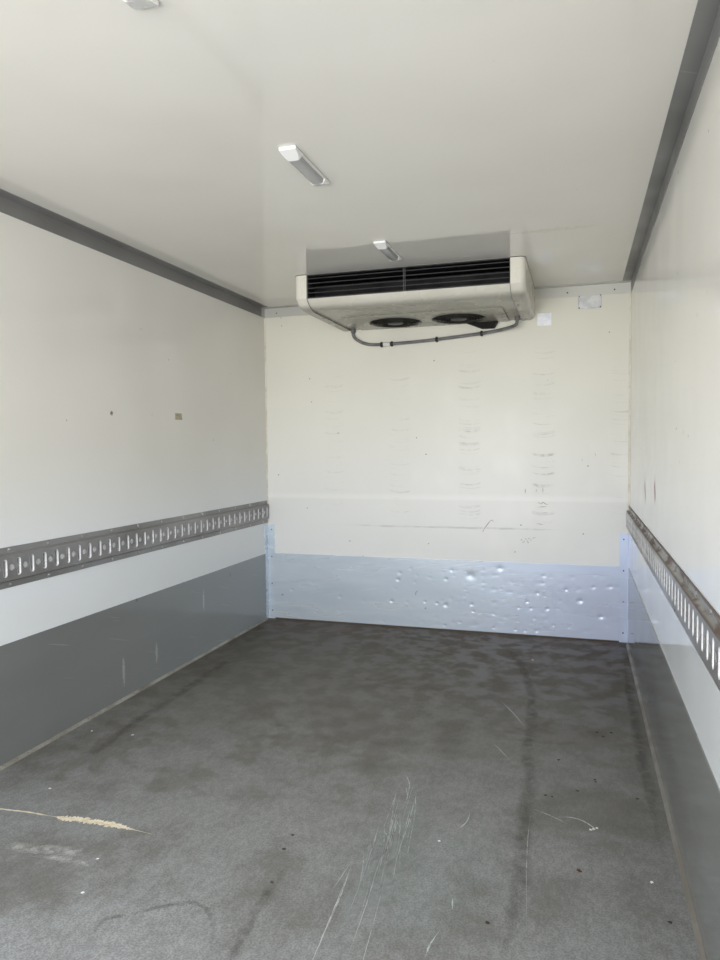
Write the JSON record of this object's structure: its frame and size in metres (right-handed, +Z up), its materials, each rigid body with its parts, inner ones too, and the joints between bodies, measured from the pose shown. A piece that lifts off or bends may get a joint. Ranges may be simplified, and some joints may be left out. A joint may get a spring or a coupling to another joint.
{
  "type": "refrigerated truck box body",
  "caption": "Insulated refrigerated box body for a light truck, with ceiling evaporator, nose condenser, load rails and rear doors folded open.",
  "frame": {"origin": "below the middle of the whole body, level with the undersides of its runners", "axes": "+Y forward to the nose, -Y to the rear doors, +X to the right, +Z up"},
  "size_m": [2.496, 4.712, 2.2625],
  "materials": {
    "grp_white": "gloss gelcoat skin",
    "grp_under": "plain laminate",
    "floor_resin": "worn anti-slip resin",
    "aluminium_profile": "satin anodised",
    "frame_steel": "stainless",
    "hinge_steel": "stainless",
    "buffer_rubber": "moulded",
    "cove_grey": "dull",
    "scuff_grey": "scratched",
    "scuff_bright": "dented and bright",
    "sealant": "cured bead",
    "rail_zinc": "dull zinc plating",
    "lamp_white": "moulded",
    "lamp_lens": "ribbed clear",
    "evap_white": "moulded",
    "grille_black": "moulded",
    "coil_fins": "fine fins",
    "guard_black": "coated wire",
    "fan_black": "moulded",
    "hose_grey": "flexible hose",
    "clip_plastic": "moulded",
    "foam_black": "foam lagging",
    "frame_black": "satin paint",
    "seal_rubber": "moulded",
    "lens_amber": "lens",
    "lens_red": "lens",
    "lens_clear": "lens"
  },
  "bodies": {
    "box_body": {"floor_panel": "grp_under", "floor_deck": "floor_resin", "wall_left": "grp_white", "wall_right": "grp_white", "front_wall": "grp_white", "roof_panel": "grp_white", "roof_rails": "aluminium_profile", "nose_rail": "aluminium_profile", "front_posts": "aluminium_profile", "sill_rails": "aluminium_profile", "rear_posts": "frame_steel", "rear_header": "frame_steel", "rear_sill": "frame_steel", "hinge_brackets": "hinge_steel", "lock_keepers": "hinge_steel", "dock_buffers": "buffer_rubber", "ceiling_coves": "cove_grey", "side_scuffs": "scuff_grey", "front_scuff": "scuff_bright", "corner_guards": "scuff_bright", "floor_beads": "sealant", "load_rails": "rail_zinc", "lamp_bases": "lamp_white", "lamp_lenses": "lamp_lens", "evap_cover": "evap_white", "evap_ends": "evap_white", "evap_grille": "grille_black", "evap_coil": "coil_fins", "evap_fan_guards": "guard_black", "drain_hose": "hose_grey", "hose_clips": "clip_plastic", "insulated_pipes": "foam_black", "cond_cover": "evap_white", "cond_grille": "grille_black", "cond_coil": "coil_fins", "cond_base": "frame_black", "cond_fan_guards": "guard_black", "runners": "frame_black", "cross_bearers": "frame_black", "side_markers": "lens_amber", "rear_markers": "lens_red", "front_markers": "lens_clear"},
    "right_door": {"door_leaf_right": "grp_white", "door_seal_right": "seal_rubber", "door_fittings_right": "hinge_steel"},
    "left_door": {"door_leaf_left": "grp_white", "door_seal_left": "seal_rubber", "door_fittings_left": "hinge_steel"},
    "evap_rotor_right": {"evap_fan_right": "fan_black"},
    "evap_rotor_left": {"evap_fan_left": "fan_black"},
    "cond_rotor_right": {"cond_fan_right": "fan_black"},
    "cond_rotor_left": {"cond_fan_left": "fan_black"}
  },
  "joints": [
    {"name": "door_right", "type": "hinge", "parent": "box_body", "child": "right_door", "pos_m": [1.128, -2.326, 1.2], "axis": [0, 0, 1], "range_deg": [-270, 0]},
    {"name": "door_left", "type": "hinge", "parent": "box_body", "child": "left_door", "pos_m": [-1.128, -2.326, 1.2], "axis": [0, 0, -1], "range_deg": [-270, 0]},
    {"name": "evap_fan_right", "type": "hinge", "parent": "box_body", "child": "evap_rotor_right", "pos_m": [0.172, 1.809, 2.04], "axis": [0, 0, 1], "continuous": true},
    {"name": "cond_fan_right", "type": "hinge", "parent": "box_body", "child": "cond_rotor_right", "pos_m": [0.33, 2.314, 1.885], "axis": [0, 1, 0], "continuous": true},
    {"name": "evap_fan_left", "type": "hinge", "parent": "box_body", "child": "evap_rotor_left", "pos_m": [-0.172, 1.809, 2.04], "axis": [0, 0, 1], "continuous": true},
    {"name": "cond_fan_left", "type": "hinge", "parent": "box_body", "child": "cond_rotor_left", "pos_m": [-0.33, 2.314, 1.885], "axis": [0, 1, 0], "continuous": true}
  ]
}
